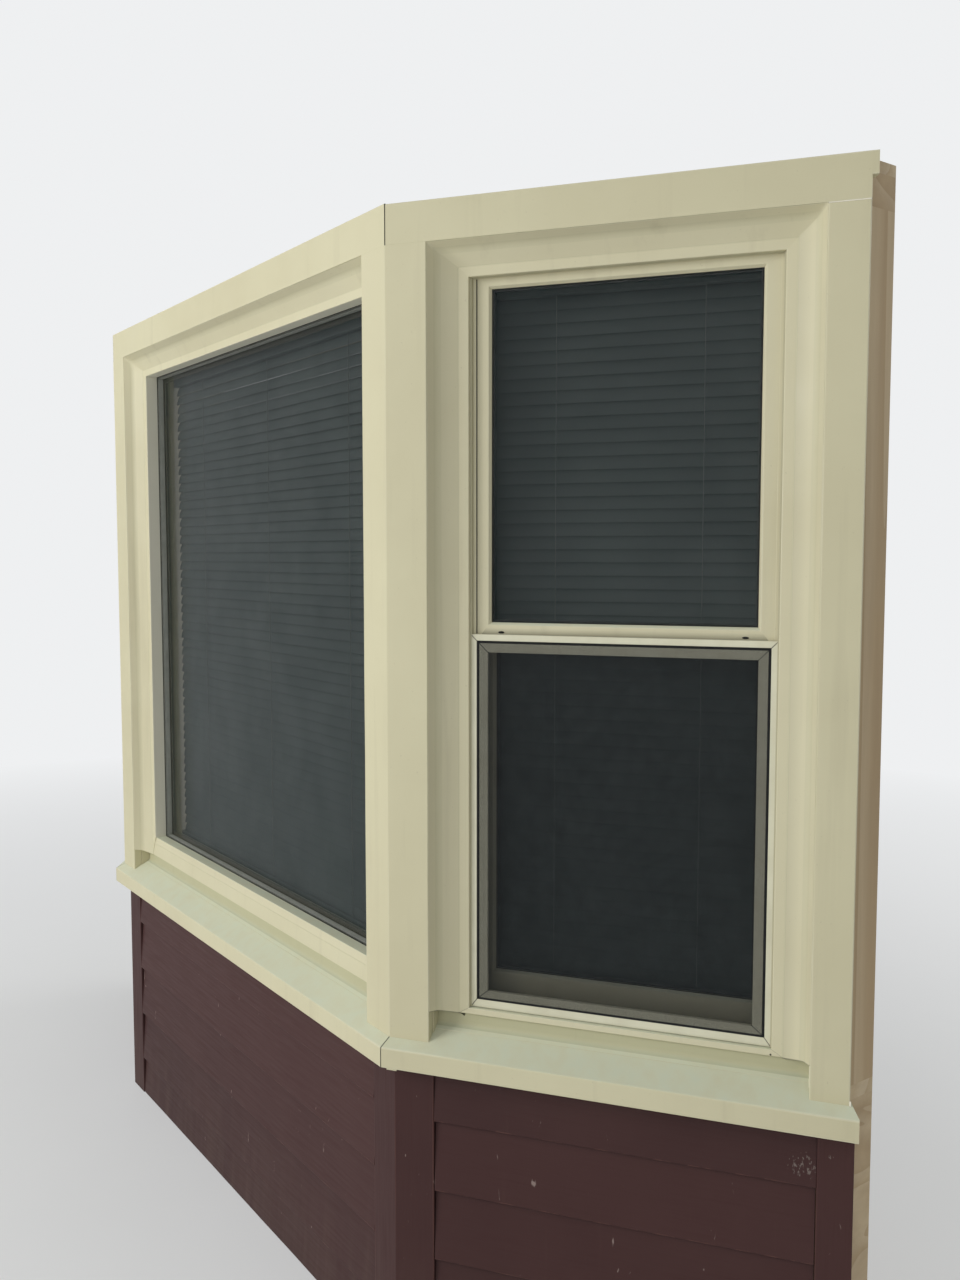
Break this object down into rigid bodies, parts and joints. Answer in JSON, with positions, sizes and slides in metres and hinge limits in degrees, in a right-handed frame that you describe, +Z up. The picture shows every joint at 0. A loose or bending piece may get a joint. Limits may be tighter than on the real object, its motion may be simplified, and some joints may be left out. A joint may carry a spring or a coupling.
{
  "type": "bay window",
  "caption": "Three-sided bay window with a fixed front pane, double-hung side windows with half screens and blinds, a sloped sill and a lap-sided base.",
  "frame": {"origin": "centre of the bay's plan box, at ground level", "axes": "+X to the right along the house wall, +Y into the house, +Z up; the front pane faces -Y"},
  "size_m": [2.9198, 0.5976, 2.208],
  "materials": {
    "trim": "satin cream coil-coated sheet",
    "window_plastic": "satin ivory plastic",
    "siding": "painted dark barn red",
    "framing": "bare softwood",
    "board": "bare plywood",
    "glass": "clear double pane",
    "screen_bar": "satin ivory enamel",
    "screen_cloth": "dark woven mesh",
    "blind": "satin pale enamel"
  },
  "bodies": {
    "root": {"knee_wall_front": "framing", "knee_wall_left": "framing", "knee_wall_right": "framing", "siding_front": "siding", "siding_left": "siding", "siding_right": "siding", "corner_board_left": "siding", "corner_board_right": "siding", "wall_board_left": "siding", "wall_board_right": "siding", "seat_board": "board", "top_board": "board", "header_front": "framing", "header_left": "framing", "header_right": "framing", "corner_post_left": "framing", "corner_post_right": "framing", "wall_post_left": "framing", "wall_post_right": "framing", "sill_front": "trim", "sill_left": "trim", "sill_right": "trim", "head_trim_front": "trim", "head_trim_left": "trim", "head_trim_right": "trim", "corner_casing_left": "trim", "corner_casing_right": "trim", "end_casing_left": "trim", "end_casing_right": "trim", "picture_frame": "window_plastic", "side_frame_left": "window_plastic", "side_frame_right": "window_plastic", "picture_bead": "window_plastic", "upper_sash_left": "window_plastic", "upper_sash_right": "window_plastic", "lower_sash_left": "window_plastic", "lower_sash_right": "window_plastic", "picture_glass": "glass", "upper_glass_left": "glass", "upper_glass_right": "glass", "lower_glass_left": "glass", "lower_glass_right": "glass", "screen_frame_left": "screen_bar", "screen_frame_right": "screen_bar", "screen_cloth_left": "screen_cloth", "screen_cloth_right": "screen_cloth", "blind_front": "blind", "blind_left": "blind", "blind_right": "blind"}
  },
  "joints": []
}
